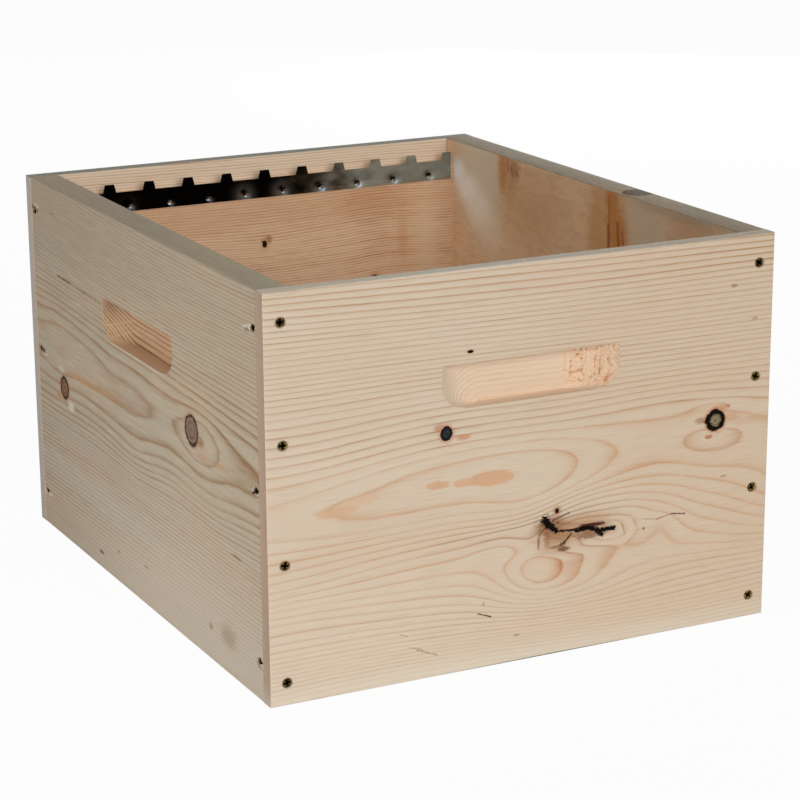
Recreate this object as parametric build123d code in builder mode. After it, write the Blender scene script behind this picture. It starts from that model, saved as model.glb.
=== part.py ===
from build123d import *
import math
import os

# A ten-frame hive body: four lapped and screwed boards, open above and below,
# with toothed steel rails that carry and space the frames.
# Frame: origin at the bottom centre, +X to the right of the front, +Y to the back, +Z up.
# All sizes are millimetres.

# Box
outside_width = 430.0
outside_length = 505.0
body_height = 311.0
board_thickness = 25.0
corner_lip = 13.0        # what the end boards keep in front of the side boards' ends

# Frame rest, cut into the inner top edge of both end boards
rest_lip = 12.0          # board left standing behind the rest
rest_drop = 21.0         # floor of the rest below the rim

# Hand-hold, milled into the outer face of every board
grip_drop = 70.5         # upper edge below the rim
grip_height = 34.0
grip_depth = 13.7
grip_flat = 68.0         # straight stretch at full depth
grip_cutter_radius = 70.0
grip_corner_run = 24.0   # rounding of the two lower corners, along the board
grip_corner_rise = 16.0  # and up it
grip_corner_levels = 5
grip_shift = 2.0         # off the board's middle, to the right seen from outside

# Toothed rail
rail_thickness = 1.0
rail_height = 17.5       # lower edge to the edge that carries the frames
rail_edge_drop = 18.0    # that edge below the rim
tooth_height = 7.2
tooth_top = 8.2
tooth_base = 12.0
frame_pitch = 36.75
rail_shift = -1.0        # both rails off the middle, along X

# Round-headed nail
nail_head_radius = 2.75
nail_head_height = 1.6
nail_shank_radius = 0.8
nail_length = 18.0       # under the head
nail_rise = 4.5          # above the rail's lower edge

# Countersunk screw
screw_head_radius = 3.8
screw_shank_radius = 2.0
screw_length = 45.0
screw_tip = 5.0
screw_sink = 0.4         # head below the face of the board

# Screw rows through the end boards into the side boards' ends
end_screw_count = 4
end_screw_top = 22.5
end_screw_bottom = 17.5
end_screw_inset = 13.5

# Screw rows through the side boards into the end boards
side_screw_top = 29.0
side_screw_bottom = 30.0
side_screw_lift = 5.5    # middle screw above half height

# Sizes that follow
inner_width = outside_width - 2 * board_thickness
side_board_length = outside_length - 2 * corner_lip
tongue = board_thickness - corner_lip
side_screw_inset = corner_lip + tongue / 2
frame_count = int((inner_width - tooth_top) // frame_pitch)
rail_length = frame_count * frame_pitch + tooth_top
rail_edge_height = body_height - rail_edge_drop
nail_height = rail_edge_height - rail_height + nail_rise
grip_floor = body_height - grip_drop - grip_height
grip_run = math.sqrt(grip_cutter_radius**2 - (grip_cutter_radius - grip_depth) ** 2)
screw_cone = screw_head_radius - screw_shank_radius

# Outer face of each wall: x to the right seen from outside, y up, z out of the box
front_face = Plane(origin=(0, -outside_length / 2, 0), x_dir=(1, 0, 0), z_dir=(0, -1, 0))
back_face = Plane(origin=(0, outside_length / 2, 0), x_dir=(-1, 0, 0), z_dir=(0, 1, 0))
left_face = Plane(origin=(-outside_width / 2, 0, 0), x_dir=(0, -1, 0), z_dir=(-1, 0, 0))
right_face = Plane(origin=(outside_width / 2, 0, 0), x_dir=(0, 1, 0), z_dir=(1, 0, 0))

# Where the fasteners sit on those faces
end_screw_x = outside_width / 2 - end_screw_inset
side_screw_x = outside_length / 2 - side_screw_inset
end_screw_step = (body_height - end_screw_top - end_screw_bottom) / (end_screw_count - 1)
end_screw_heights = [end_screw_bottom + end_screw_step * index for index in range(end_screw_count)]
side_screw_heights = [side_screw_bottom, body_height / 2 + side_screw_lift, body_height - side_screw_top]
nail_xs = [rail_shift + frame_pitch * (index - (frame_count - 1) / 2) for index in range(frame_count)]


def column(x, heights):
    """Places of a row of fasteners, one above the other."""
    return [(x, height) for height in heights]


def nail_places(face):
    """Places of the nails on a face, one under the middle of each gap of the rail."""
    return [(face.x_dir.X * x, nail_height) for x in nail_xs]


def seats(face, places, depth):
    """Planes at places on a face, a depth below it and facing out of the box."""
    points = [face.from_local_coords((x, height, -depth)) for x, height in places]
    return [Plane(origin=point, x_dir=face.x_dir, z_dir=face.z_dir) for point in points]


def level_plane(face, level):
    """Horizontal plane through a hand-hold: x along the board, y into it."""
    origin = face.from_local_coords((grip_shift, grip_floor + level, 0))
    return Plane(origin=origin, x_dir=face.x_dir, z_dir=face.y_dir)


def grip_cutter(face):
    """Hand-hold: square above, flat ledge below, ends run out on the cutter's radius, lower corners round."""
    with BuildPart() as cutter:
        with BuildSketch(face):
            with Locations((grip_shift, grip_floor + grip_height / 2)):
                Rectangle(grip_flat, grip_height)
        extrude(amount=-grip_depth)
        for side in (-1, 1):
            for index in range(grip_corner_levels):
                turn = math.pi / 2 * index / (grip_corner_levels - 1)
                run = grip_run - grip_corner_run * (1 - math.sin(turn))
                inner = side * grip_flat / 2
                outer = side * (grip_flat / 2 + run)
                with BuildSketch(level_plane(face, grip_corner_rise * (1 - math.cos(turn)))) as section:
                    with BuildLine():
                        Line((inner, -grip_depth), (inner, grip_depth))
                        TangentArc((inner, grip_depth), (outer, 0), tangent=(side, 0))
                        Line((outer, 0), (outer, -grip_depth))
                        Line((outer, -grip_depth), (inner, -grip_depth))
                    make_face()
            loft()
            extrude(section.sketch, amount=grip_height - grip_corner_rise)
    return cutter.part


# Countersunk screw, head up, its upper face on the XY plane
with BuildPart() as screw:
    with BuildSketch(Plane.XZ):
        with BuildLine():
            Polyline(
                (0, 0),
                (screw_head_radius, 0),
                (screw_shank_radius, -screw_cone),
                (screw_shank_radius, screw_tip - screw_length),
                (0, -screw_length),
                close=True,
            )
        make_face()
    revolve(axis=Axis.Z)

# Round-headed nail, the underside of its head on the XY plane
with BuildPart() as nail:
    with BuildSketch(Plane.XZ):
        with BuildLine():
            Line((0, nail_head_height), (0, -nail_length))
            Line((0, -nail_length), (nail_shank_radius, -nail_length))
            Line((nail_shank_radius, -nail_length), (nail_shank_radius, 0))
            Line((nail_shank_radius, 0), (nail_head_radius, 0))
            TangentArc((0, nail_head_height), (nail_head_radius, 0), tangent=(1, 0))
        make_face()
    revolve(axis=Axis.Z)


def end_board(face, name):
    """Front or back board: lapped over the side boards, with a frame rest along its inner top edge."""
    cutter = grip_cutter(face)
    with BuildPart() as board:
        with BuildSketch(face):
            with Locations((0, body_height / 2)):
                Rectangle(outside_width, body_height)
        extrude(amount=-board_thickness)
        # Laps for the side boards
        with BuildSketch(face.offset(-corner_lip)):
            with Locations((0, body_height / 2)):
                with GridLocations(outside_width - board_thickness, 0, 2, 1):
                    Rectangle(board_thickness, body_height)
        extrude(amount=-tongue, mode=Mode.SUBTRACT)
        # Frame rest
        with BuildSketch(face.offset(-rest_lip)):
            with Locations((0, body_height - rest_drop / 2)):
                Rectangle(inner_width, rest_drop)
        extrude(amount=rest_lip - board_thickness, mode=Mode.SUBTRACT)
        add(cutter, mode=Mode.SUBTRACT)
        for side in (-1, 1):
            # Countersunk holes through the lap
            with Locations(seats(face, column(side * end_screw_x, end_screw_heights), screw_sink)):
                CounterSinkHole(screw_shank_radius, screw_head_radius, corner_lip, 90)
            # Holes in the tongue that the side board's screws run on into
            with Locations(seats(face, column(side * inner_width / 2, side_screw_heights), side_screw_inset)):
                hole_depth = screw_sink + screw_length - board_thickness
                Cylinder(screw_shank_radius, 2 * hole_depth, rotation=(0, 90, 0), mode=Mode.SUBTRACT)
        # Nail holes
        with Locations(seats(face, nail_places(face), board_thickness)):
            Cylinder(nail_shank_radius, 2 * (nail_length - rail_thickness), mode=Mode.SUBTRACT)
    board.part.label = name
    export_step(board.part, f"parts/{name}.step")


def side_board(face, name):
    """Left or right board: a plain plank held between the end boards' lips."""
    cutter = grip_cutter(face)
    with BuildPart() as board:
        with BuildSketch(face):
            with Locations((0, body_height / 2)):
                Rectangle(side_board_length, body_height)
        extrude(amount=-board_thickness)
        add(cutter, mode=Mode.SUBTRACT)
        for side in (-1, 1):
            # Countersunk holes towards the end board's tongue
            with Locations(seats(face, column(side * side_screw_x, side_screw_heights), screw_sink)):
                CounterSinkHole(screw_shank_radius, screw_head_radius, board_thickness, 90)
            # Holes in the end that the end board's screws run on into
            end = side * side_board_length / 2
            with Locations(seats(face, column(end, end_screw_heights), end_screw_inset)):
                hole_depth = screw_sink + screw_length - corner_lip
                Cylinder(screw_shank_radius, 2 * hole_depth, rotation=(0, 90, 0), mode=Mode.SUBTRACT)
    board.part.label = name
    export_step(board.part, f"parts/{name}.step")


def frame_rail(face, name):
    """Toothed strip on the inner face of an end board: frames hang in the gaps between its teeth."""
    flank_angle = math.degrees(math.atan2(tooth_height, (tooth_base - tooth_top) / 2))
    middle = face.x_dir.X * rail_shift
    with BuildPart() as rail:
        with BuildSketch(face.offset(-board_thickness)):
            with Locations((middle, rail_edge_height + tooth_height / 2)):
                with GridLocations(frame_pitch, 0, frame_count + 1, 1):
                    Trapezoid(tooth_base, tooth_height, flank_angle)
            # The outer teeth end square with the strip
            with Locations((middle, rail_edge_height)):
                Rectangle(rail_length, 2 * tooth_height, mode=Mode.INTERSECT)
            with Locations((middle, rail_edge_height - rail_height / 2)):
                Rectangle(rail_length, rail_height)
        extrude(amount=-rail_thickness)
        with Locations(seats(face, nail_places(face), board_thickness)):
            Cylinder(nail_shank_radius, 3 * rail_thickness, mode=Mode.SUBTRACT)
    rail.part.label = name
    export_step(rail.part, f"parts/{name}.step")


def rail_nails(face, name):
    """Nails of one rail, driven in from inside the box."""
    with BuildPart() as nails:
        with Locations([-seat for seat in seats(face, nail_places(face), board_thickness + rail_thickness)]):
            add(nail.part)
    nails.part.label = name
    export_step(nails.part, f"parts/{name}.step")


def screw_row(face, x, heights, name):
    """One row of screws, heads just under the outer face."""
    with BuildPart() as screws:
        with Locations(seats(face, column(x, heights), screw_sink)):
            add(screw.part)
    screws.part.label = name
    export_step(screws.part, f"parts/{name}.step")


os.makedirs("parts", exist_ok=True)

for face, side in ((front_face, "front"), (back_face, "back")):
    end_board(face, f"{side}_board")
    frame_rail(face, f"{side}_rail")
    rail_nails(face, f"{side}_rail_nails")

side_board(left_face, "left_board")
side_board(right_face, "right_board")

# Sides are named from the front: the back board's own left is the box's right
screw_row(front_face, -end_screw_x, end_screw_heights, "front_board_left_screws")
screw_row(front_face, end_screw_x, end_screw_heights, "front_board_right_screws")
screw_row(back_face, end_screw_x, end_screw_heights, "back_board_left_screws")
screw_row(back_face, -end_screw_x, end_screw_heights, "back_board_right_screws")
screw_row(left_face, side_screw_x, side_screw_heights, "left_board_front_screws")
screw_row(left_face, -side_screw_x, side_screw_heights, "left_board_back_screws")
screw_row(right_face, -side_screw_x, side_screw_heights, "right_board_front_screws")
screw_row(right_face, side_screw_x, side_screw_heights, "right_board_back_screws")
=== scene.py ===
import math

import bmesh
import bpy
import numpy as np
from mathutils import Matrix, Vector


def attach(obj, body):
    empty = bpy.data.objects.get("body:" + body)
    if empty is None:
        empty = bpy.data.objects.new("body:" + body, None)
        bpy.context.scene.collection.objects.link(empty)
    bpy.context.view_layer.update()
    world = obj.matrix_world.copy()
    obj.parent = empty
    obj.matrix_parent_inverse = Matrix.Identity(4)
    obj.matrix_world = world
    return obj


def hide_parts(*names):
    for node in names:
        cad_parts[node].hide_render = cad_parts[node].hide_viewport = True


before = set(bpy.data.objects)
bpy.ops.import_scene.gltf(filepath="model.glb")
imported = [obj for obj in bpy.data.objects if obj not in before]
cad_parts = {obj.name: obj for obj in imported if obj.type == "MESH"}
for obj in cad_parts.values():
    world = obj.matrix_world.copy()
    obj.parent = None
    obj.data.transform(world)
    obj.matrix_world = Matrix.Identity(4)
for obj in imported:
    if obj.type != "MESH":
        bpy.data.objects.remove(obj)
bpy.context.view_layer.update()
scene = bpy.context.scene
scene.view_settings.view_transform = "Standard"

# Lengths below are millimetres unless a note says otherwise; meshes are put down in metres.
metre = 0.001

# Each wall is drawn in its own frame: s along the board to the right seen from outside, z up, d into the wood.
walls = {
    "front": dict(along=(1, 0), inward=(0, 1), face=(0, -252.5), half=215),
    "back": dict(along=(-1, 0), inward=(0, -1), face=(0, 252.5), half=215),
    "left": dict(along=(0, -1), inward=(1, 0), face=(-215, 0), half=252.5),
    "right": dict(along=(0, 1), inward=(-1, 0), face=(215, 0), half=252.5),
}
boxHeight = 311


# place = face + s * along + d * inward, with z upright
def wallPoints(wall, s, z, d):
    (ax, ay), (ix, iy), (fx, fy) = wall["along"], wall["inward"], wall["face"]
    s, z, d = np.broadcast_arrays(s, z, d)
    return np.stack([fx + s * ax + d * ix, fy + s * ay + d * iy, z], -1).reshape(-1, 3)


# value noise from 0 to 1: random heights on a square lattice, blended by 3u^2 - 2u^3
def softNoise(x, y, seed, size=64):
    table = np.random.default_rng(seed).random((size, size))
    column, row = np.floor(x).astype(int), np.floor(y).astype(int)
    u, v = x - column, y - row
    u, v = u * u * (3 - 2 * u), v * v * (3 - 2 * v)
    column, row, nextColumn, nextRow = (i % size for i in (column, row, column + 1, row + 1))
    near = table[column, row] * (1 - u) + table[nextColumn, row] * u
    far = table[column, nextRow] * (1 - u) + table[nextColumn, nextRow] * u
    return near * (1 - v) + far * v


# 0 below low, 1 above high, 3u^2 - 2u^3 between them
def ease(low, high, x):
    u = np.clip((x - low) / (high - low), 0, 1)
    return u * u * (3 - 2 * u)


# quads between the rows and columns of a grid of points; closed grids join their last column to the first
def gridFaces(rows, columns, start=0, flip=False, closed=False):
    wide = columns if closed else columns - 1
    j, i = np.meshgrid(np.arange(rows - 1), np.arange(wide), indexing="ij")
    k = (i + 1) % columns
    faces = np.stack([j * columns + i, j * columns + k, (j + 1) * columns + k, (j + 1) * columns + i], -1)
    return start + faces.reshape(-1, 4)[:, ::-1 if flip else 1]


# closed shell of two equal grids, the second numbered after the first: both sides, and a strip round their borders
def shellFaces(rows, columns, flip=False):
    count = rows * columns
    index = np.arange(count).reshape(rows, columns)
    border = np.concatenate([index[0, :-1], index[:-1, -1], index[-1, :0:-1], index[:0:-1, 0]])
    after = np.roll(border, -1)
    strip = np.stack([border, border + count, after + count, after], -1)
    return np.concatenate([gridFaces(rows, columns, 0, flip), gridFaces(rows, columns, count, not flip),
                           strip[:, ::-1] if flip else strip])


# sorted grid lines: a coarse step over the whole span, finer steps in some spans, and exact lines
def gridLines(low, high, step, fine, exact, closest=0.12):
    spans = [np.linspace(a, b, max(2, int(round((b - a) / e)) + 1)) for a, b, e in ((low, high, step), *fine)]
    for a, b, e in fine:
        spans[0] = spans[0][(spans[0] <= a - e) | (spans[0] >= b + e)]
    lines, exact = np.concatenate(spans), np.asarray(exact, float)
    clash = (np.abs(lines[:, None] - exact) < closest).any(1)
    lines = np.unique(np.round(np.concatenate([lines[~clash], exact]), 4))
    return lines[(lines >= low) & (lines <= high)]


# one mesh in metres, smooth below the sharp angle; it rides on the box and stands for its CAD node
def addPiece(name, points, faces, finish, node, sharp, marks):
    mesh = bpy.data.meshes.new(name)
    mesh.from_pydata((points * metre).tolist(), [], faces.tolist())
    for markName, values in marks.items():
        mark = mesh.attributes.new(markName, "FLOAT", "POINT")
        mark.data.foreach_set("value", np.asarray(values, np.float32))
    mesh.shade_smooth()
    mesh.set_sharp_from_angle(angle=math.radians(sharp))
    mesh.materials.append(finish)
    piece = bpy.data.objects.new(name, mesh)
    scene.collection.objects.link(piece)
    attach(piece, "root")
    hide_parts(node)
    return piece


# Shader maths

# sRGB values from 0 to 255 to linear colour: share / 12.92 at the dark end, a power of 2.4 above it
def tone(red, green, blue):
    share = np.array([red, green, blue]) / 255
    linear = np.where(share <= 0.04045, share / 12.92, ((share + 0.055) / 1.055) ** 2.4)
    return (*linear.tolist(), 1)


class Wire:
    # one output socket; arithmetic with it adds Math nodes
    def __init__(self, sheet, socket):
        self.sheet, self.socket = sheet, socket

    def calc(self, operation, *others):
        return self.sheet.math(operation, self, *others)

    def __add__(self, other):
        return self.calc("ADD", other)

    def __sub__(self, other):
        return self.calc("SUBTRACT", other)

    def __mul__(self, other):
        return self.calc("MULTIPLY", other)

    def __truediv__(self, other):
        return self.calc("DIVIDE", other)

    def __pow__(self, other):
        return self.calc("POWER", other)

    def __rsub__(self, other):
        return self.sheet.math("SUBTRACT", other, self)

    def __rtruediv__(self, other):
        return self.sheet.math("DIVIDE", other, self)

    def __rpow__(self, other):
        return self.sheet.math("POWER", other, self)

    __radd__, __rmul__ = __add__, __mul__

    def exp(self):
        return self.calc("EXPONENT")

    def size(self):
        return self.calc("ABSOLUTE")

    def within(self, low, high):
        return self.calc("MAXIMUM", low).calc("MINIMUM", high)

    # smooth step from 0 at low to 1 at high; high may be below low
    def ease(self, low, high):
        sockets = {"Value": self, "From Min": low, "From Max": high}
        return self.sheet.add("ShaderNodeMapRange", sockets, interpolation_type="SMOOTHSTEP")


class Sheet:
    # the node tree of a material or of the world
    def __init__(self, owner):
        owner.use_nodes = True
        self.owner, self.tree = owner, owner.node_tree
        self.tree.nodes.clear()

    # a node by its type, its sockets' values or links, the output that is wanted, and its settings
    def add(self, kind, sockets, output=0, **settings):
        node = self.tree.nodes.new(kind)
        for key, value in settings.items():
            setattr(node, key, value)
        for key, value in sockets.items():
            if isinstance(value, Wire):
                self.tree.links.new(value.socket, node.inputs[key])
            else:
                node.inputs[key].default_value = value
        return Wire(self, node.outputs[output]) if len(node.outputs) else node

    # several outputs of one node
    def wires(self, kind, sockets, *outputs):
        node = self.add(kind, sockets).socket.node
        return [Wire(self, node.outputs[key]) for key in outputs]

    def math(self, operation, *values):
        return self.add("ShaderNodeMath", dict(enumerate(values)), operation=operation)

    def vector(self, operation, *values, output=0):
        return self.add("ShaderNodeVectorMath", dict(enumerate(values)), output, operation=operation)

    def scale(self, first, by):
        return self.add("ShaderNodeVectorMath", {0: first, "Scale": by}, operation="SCALE")

    def dot(self, first, second):
        return self.vector("DOT_PRODUCT", first, second, output="Value")

    def length(self, value):
        return self.vector("LENGTH", value, output="Value")

    def mark(self, name):
        return self.add("ShaderNodeAttribute", {}, "Fac", attribute_name=name)

    def normal(self):
        return self.add("ShaderNodeNewGeometry", {}, "Normal")

    # object coordinates in millimetres
    def place(self):
        return self.scale(self.add("ShaderNodeTexCoord", {}, "Object"), 1 / metre)

    # first + share * (second - first), or their blend; plain colours are sRGB triples
    def mix(self, share, first, second, blend="MIX"):
        first, second = (x if isinstance(x, Wire) else tone(*x) for x in (first, second))
        return self.add("ShaderNodeMix", {0: share, 6: first, 7: second}, 2, data_type="RGBA", blend_type=blend)

    # cloud from 0 to 1 with a grain of the given lengths along the three axes
    def cloud(self, point, lengths, seed, detail=2, rough=0.5):
        stretched = self.vector("MULTIPLY_ADD", point, [1 / x for x in lengths], (seed, seed * 1.7, seed * 2.3))
        return self.add("ShaderNodeTexNoise", {"Vector": stretched, "Scale": 1, "Detail": detail, "Roughness": rough})

    # distance from a centre in units of the given radii; a radius of 0 leaves that axis out
    def reach(self, point, centre, radii):
        share = [1 / r if r else 0 for r in radii]
        return self.length(self.vector("MULTIPLY_ADD", point, share, [-c * k for c, k in zip(centre, share)]))

    # exp(-distance^2) round a place on a board's face, in units of its half lengths
    def blot(self, point, a, t, halfA, halfT):
        far = self.reach(point, (a, 0, t), (halfA, 0, halfT))
        return (far * far * -1).exp()

    # distance from a straight stroke: off the nearest point of the line between its two ends
    def stroke(self, point, start, end):
        line = [e - b for b, e in zip(start, end)]
        size = sum(x * x for x in line)
        offset = self.vector("SUBTRACT", point, start)
        share = self.dot(offset, [x / size for x in line]).within(0, 1)
        return self.length(self.vector("SUBTRACT", offset, self.scale(line, share)))

    # principled surface with one bump
    def finish(self, sockets, height, distance, strength):
        bump = {"Height": height, "Distance": distance * metre, "Strength": strength}
        sockets["Normal"] = self.add("ShaderNodeBump", bump)
        self.add("ShaderNodeOutputMaterial", {"Surface": self.add("ShaderNodeBsdfPrincipled", sockets)})
        return self.owner


# Spruce

# One dictionary for each board, in its own frame: a along it from its left end seen from outside, t below the rim,
# d into the wood. Rows start with a, t and half lengths along both, and go on with
# broad: how much wider summer wood grows; dusk: amount and tone of stronger summer wood; swells: rings added;
# stain rows, some of them painted light and shade: tone, amount, raggedness, hardness of the edge; painted shade in
# the hand-hold: tone, amount.
# strokes: a, t of both ends, half width, tone, amount. knots: centre, radii, tones of core and heart, then width,
# tone and amount of the rim and of the halo.
# pith: depth, side, t. upper: share, bend and both ends of rings that lie closer. warm: tone of lines, ends on t.
# fade: strength of lines at the top, in the middle and below, with the ends of the blends between them.
plainSpruce = dict(
    marksInside=False, middle=215, lateDepth=0.95, upper=None, fade=None, warm=None, freshDepth=(2, 12.5),
    holdLines=0.5, sillLines=0.8, sillPaintedLight=0, mottle=0.1, screwSplit=(4.5, 4.2), splinters=0,
    splinterSpan=(8.5, 3.4), broad=[], dusk=[], holdPaintedShade=[],
)
sideSpruce = dict(
    plainSpruce, middle=250, end=(188, 158, 132), endLate=(150, 108, 82), screwSplit=(4.4, 2.4), splinters=0.85,
)
frontSpruce = dict(
    plainSpruce, seed=3, ring=3.1, pith=(138, -1, 156), start=1.445, lean=0.649 / 215, wobble=0.09,
    upper=(0.21, 31, 181, 131), lateShare=0.14, fade=(1.12, 22, 44, 0.82, 215, 262, 0.6),
    warm=((211, 163, 121), (118, 142), (236, 268)), early=(228, 211, 190), earlyFar=(222, 202, 178),
    late=(188, 140, 100), fresh=(244, 222, 197), freshLate=(206, 158, 116), rim=(212, 204, 187),
    rimFar=(192, 182, 166), end=(164, 138, 119), endLate=(136, 101, 79), insideLines=0.55, flecks=0.5,
    broad=[
        (247, 243, 13, 9, 0.42), (284, 243, 11, 9, 0.26), (300, 168, 20, 14, 0.08), (356, 157, 12, 10, 0.12),
        (400, 157, 12, 10, 0.12), (378, 168, 20, 5, 0.1),
    ],
    dusk=[
        (250, 203, 46, 14, 0.85, (98, 60, 36)), (182, 206, 56, 7, 0.5, (130, 84, 54)),
        (420, 8, 100, 14, 0.8, (184, 136, 98)), (146, 121, 16, 12, 0.6, (150, 90, 62)),
        (247, 243, 14, 11, 0.9, (202, 128, 82)), (284, 243, 12, 10, 0.45, (206, 146, 104)),
        (379, 157, 34, 15, 0.8, (178, 112, 68)), (300, 160, 30, 20, 0.5, (206, 142, 98)),
        (268, 224, 34, 12, 0.5, (140, 92, 60)),
    ],
    swells=[
        (59.9, 182.2, 100.4, 16.7, -0.76), (135.2, 136, 107.2, 50.9, -2.84), (228.8, 156.4, 64.2, 25.6, -1.39),
        (83.6, 120.7, 170.6, 33.6, 3.09), (329.8, 122.7, 82, 19.2, -1.05), (136, 213.4, 90.2, 21.1, 1.34),
        (230.8, 205.9, 60.1, 6.3, 1.31), (255.1, 194.6, 46.2, 16.1, 3.65), (324.7, 195.9, 41.4, 19.1, 1.06),
        (448, 218.4, 54.2, 42.7, -2.74), (222.8, 243.3, 34.8, 20.5, -2.53), (248.2, 259, 61.9, 19.8, -2.52),
        (192.2, 220.6, 27.7, 9.6, 1.16), (304.5, 216.7, 23.3, 18.4, 2.01), (333.6, 220.1, 21.8, 16.6, 1.27),
        (392.7, 243.2, 85.3, 20.5, -1.12), (10.3, 245.3, 95.8, 17.1, 1.17), (316.8, 287.5, 184, 34.9, -3.56),
        (377.3, 166.6, 38.8, 21.6, -0.78), (378.4, 141.8, 34.5, 13, -0.26), (264.9, 212.5, 29.7, 8.3, 1.78),
        (142.3, 303.1, 220.1, 21.5, 2.92), (188.6, 26, 253.2, 16.8, 1.02), (231.9, 57.4, 257.6, 35.4, 0.4),
        (230.3, 188, 48.2, 17.2, -2.61), (283.1, 221.4, 28.8, 6.8, 2.17), (311.2, 221.6, 17.2, 11.9, -1.5),
        (380.5, 130.8, 23.2, 3.6, -0.64), (389.7, 148.6, 23.6, 3.6, 0.5), (255.5, 213, 34.7, 3.7, 1.92),
        (250.3, 228.2, 25.8, 5.1, 0.81), (379.5, 156.2, 26, 9.7, -1.01), (218.9, 210.1, 18, 6, -1.05),
        (174.7, 161.9, 19.5, 7.2, -0.33), (137.4, 160.3, 6.8, 3.9, -0.45), (62.7, 164.4, 30.4, 6.4, -0.27),
    ],
    knots=[
        ((145.1, 0, 121.6), (5, 0, 5.5), (62, 62, 66), (26, 26, 30), 0.34, (20, 20, 24), 0.9, 0.4,
         (204, 146, 108), 0.7),
        ((380.2, 0, 143.6), (8.7, 0, 8.5), (156, 144, 120), (104, 80, 54), 0.4, (12, 9, 8), 1, 0.2,
         (186, 124, 76), 0.8),
        ((239.5, 0, 195.8), (1.7, 0, 2), (34, 24, 18), (26, 18, 14), 0.3, (64, 40, 26), 0.7, 1.2,
         (170, 116, 74), 0.6),
        ((164.9, 0, 62), (2.6, 0, 1.2), (30, 24, 20), (22, 18, 15), 0.3, (42, 30, 22), 0.7, 0.5, (180, 130, 90), 0.4),
    ],
    stainsAndPaintedLight=[
        (54, 168.6, 20, 4.6, (224, 184, 150), 0.75, 1, 0.8), (76, 163, 18, 5, (224, 186, 152), 0.5, 1.2, 0.6),
        (184, 162, 20, 6.4, (222, 178, 142), 0.92, 1.1, 1), (160, 162, 11, 3.8, (222, 178, 142), 0.85, 1.2, 1),
        (138, 160.4, 11.5, 4, (220, 178, 144), 0.85, 1.2, 1), (374.5, 156.2, 4, 1.9, (190, 130, 88), 0.9, 0.5, 1),
        (384, 133, 9, 2.2, (206, 148, 100), 0.45, 0.6, 0.6), (367, 142, 6, 3, (160, 104, 66), 0.6, 0.8, 0.3),
        (395, 143, 8, 4, (206, 152, 106), 0.5, 0.9, 0.2), (392, 133.6, 2.2, 1.6, (190, 128, 84), 0.8, 0.6, 0.7),
        (262, 206, 27, 5.5, (194, 146, 106), 0.5, 0.6, 0), (236, 210, 19, 6.5, (168, 118, 80), 0.5, 0.6, 0),
        (238, 224, 15, 6.5, (186, 138, 100), 0.5, 0.7, 0), (256, 215, 36, 9, (186, 138, 98), 0.6, 0.9, 0.1),
        (233, 207, 14, 8, (146, 98, 64), 0.7, 0.9, 0.2), (243, 216, 15, 5, (150, 104, 68), 0.45, 1.5, 0.1),
        (271, 212, 12, 2.2, (92, 46, 30), 0.9, 1.3, 0.5), (268, 219, 14, 3.4, (128, 84, 54), 0.65, 2.6, 0.6),
        (246, 227.2, 6, 2.4, (108, 70, 44), 0.8, 1.3, 0.4), (231, 218, 3, 7, (140, 94, 60), 0.5, 1.4, 0.4),
        (223.6, 219, 1.3, 6, (130, 84, 52), 0.7, 0.8, 0.4), (239, 224.5, 7, 1.6, (140, 94, 60), 0.7, 1.3, 0.4),
        (394, 38, 3.6, 1.6, (150, 116, 88), 0.6, 1.2, 0.5), (414, 66, 3, 1.6, (176, 138, 108), 0.6, 1.2, 0.5),
        (159.5, 126.5, 7, 2.4, (208, 148, 102), 0.7, 1.2, 0.6), (139, 116.5, 5, 3, (196, 120, 90), 0.6, 0.9, 0.5),
        (317, 222, 1, 1.6, (120, 86, 60), 0.8, 0.4, 0.6), (205, 290, 3.4, 1.2, (150, 120, 96), 0.6, 0.9, 0.5),
        # (235, 311) is painted shadow: a thin dark line along the bottom edge where the board meets the floor. (215,
        # 313) pales a band along the bottom.
        (90, 196, 100, 26, (200, 160, 116), 0.13, 0, 0), (215, 313, 330, 17, (233, 231, 219), 0.42, 0, 0),
        (235, 311, 90, 1, (70, 62, 54), 0.95, 0.3, 0.4), (389, 190, 4, 1.2, (176, 136, 100), 0.6, 1.2, 0.5),
    ],
    strokes=[
        (229.4, 202.4, 231.4, 205.4, 3.7, (16, 11, 9), 1), (231, 205.4, 238.8, 211.4, 2.5, (15, 10, 8), 1),
        (242.5, 212.3, 256, 213.4, 0.9, (34, 22, 15), 0.95), (256.5, 214.4, 268, 213.8, 1.8, (18, 12, 9), 1),
        (268, 213.8, 277.5, 217.6, 2, (17, 11, 8), 1), (275, 217, 279.4, 220.8, 2, (22, 14, 10), 1),
        (277, 217.4, 290.2, 217.2, 1.9, (20, 13, 10), 1), (252.5, 215.8, 246, 222.2, 0.8, (58, 40, 28), 0.9),
        (246, 222, 243, 223.8, 1.2, (84, 58, 40), 0.8), (224, 213, 229, 208, 0.6, (96, 62, 40), 0.8),
        (262, 211, 281, 211.6, 1, (70, 34, 22), 0.8), (236, 203, 250, 199, 0.8, (84, 54, 36), 0.7),
        (316, 214.2, 329, 216, 0.4, (160, 114, 78), 0.5), (329, 216, 342, 213.8, 0.5, (134, 90, 58), 0.7),
        (342, 213.8, 354, 215.4, 0.7, (92, 56, 34), 0.85), (171.5, 267, 182.5, 271.2, 0.6, (78, 54, 38), 0.85),
        (106, 272.5, 112, 274.5, 0.5, (150, 124, 100), 0.5), (113, 284, 124, 287, 0.5, (150, 116, 88), 0.5),
        (120, 287, 137, 294, 0.7, (168, 134, 106), 0.6), (297.5, 216, 300, 224, 0.5, (150, 104, 70), 0.5),
        (371, 143.6, 374, 143.6, 1.3, (16, 11, 9), 1), (176.5, 258.6, 176, 261.4, 0.5, (140, 112, 88), 0.6),
    ],
)
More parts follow.
